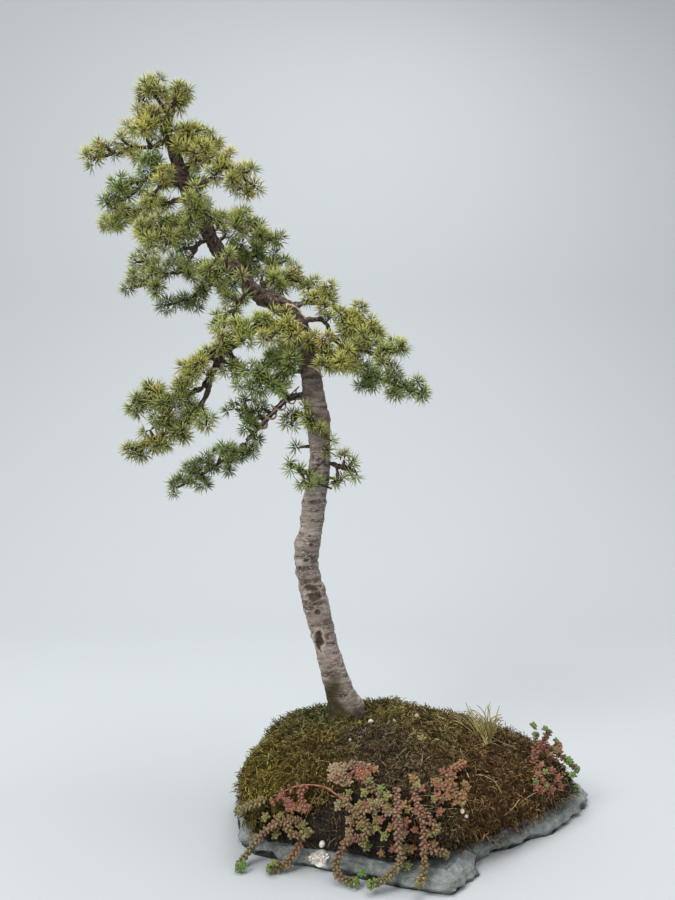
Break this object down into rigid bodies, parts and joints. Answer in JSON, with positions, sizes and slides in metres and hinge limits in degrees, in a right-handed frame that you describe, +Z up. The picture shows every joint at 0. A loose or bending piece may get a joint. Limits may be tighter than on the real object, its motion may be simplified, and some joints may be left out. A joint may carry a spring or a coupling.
{
  "type": "cedar bonsai",
  "caption": "Cedar bonsai with a tall leaning trunk, a sharp bend and wired limbs, growing in a mossy mound on a natural slate slab",
  "frame": {"origin": "on the slab's flat underside, straight below the foot of the trunk", "axes": "+Z up, +X to the right in the picture, +Y away from the viewer"},
  "size_m": [0.6325, 0.3085, 0.8942],
  "materials": {
    "bark": "rough grey-brown bark with fine cross wrinkles",
    "needles": "satin yellow-green needles",
    "needles_dark": "satin deep green needles",
    "wire": "brown anodised soft wire, dull",
    "slate": "split blue-grey slate with a paler chipped rim",
    "soil": "dark damp crumbly soil with rootlets",
    "moss": "matt olive to brown moss",
    "stonecrop": "fleshy leaves from green to rusty red, waxy",
    "straw": "dry grass",
    "pumice": "pale porous grain"
  },
  "bodies": {
    "root": {"grass_tuft": "straw", "moss_mat": "moss", "pumice_back": "pumice", "pumice_front": "pumice", "slate_slab": "slate", "soil_mound": "soil", "spray_back_dark": "needles_dark", "spray_back_lower": "needles_dark", "spray_back_middle": "needles_dark", "spray_back_upper": "needles", "spray_crown_cap": "needles", "spray_crown_left": "needles", "spray_crown_left_low": "needles", "spray_crown_right": "needles", "spray_crown_tip": "needles", "spray_front_middle": "needles", "spray_front_upper": "needles", "spray_hanging": "needles", "spray_inner_shelf": "needles", "spray_inner_upper": "needles_dark", "spray_knob_left": "needles", "spray_left_back": "needles", "spray_left_dark": "needles", "spray_left_end_lower": "needles", "spray_left_end_upper": "needles", "spray_left_front": "needles", "spray_left_inner": "needles", "spray_left_long": "needles", "spray_left_middle": "needles", "spray_left_twig": "needles", "spray_limb_under": "needles", "spray_lower_end": "needles_dark", "spray_lower_upper": "needles_dark", "spray_right_back": "needles", "spray_right_cap": "needles", "spray_right_front": "needles", "spray_right_middle": "needles", "spray_right_outer": "needles", "spray_right_shelf": "needles", "spray_right_tail": "needles", "spray_right_thin": "needles", "spray_right_upper": "needles", "spray_shelf_left": "needles", "spray_shelf_over_bend": "needles", "spray_trunk_front": "needles", "spray_trunk_left_low": "needles", "spray_trunk_right_low": "needles", "stonecrop_beige": "stonecrop", "stonecrop_front_trail": "stonecrop", "stonecrop_left_edge": "stonecrop", "stonecrop_left_trail": "stonecrop", "stonecrop_long_chain": "stonecrop", "stonecrop_middle": "stonecrop", "stonecrop_orange": "stonecrop", "stonecrop_right_chain": "stonecrop", "stonecrop_right_clump": "stonecrop", "tree_wood": "bark", "wire_on_bend": "wire", "wire_on_left_limb": "wire", "wire_on_lower_limb": "wire"}
  },
  "joints": []
}
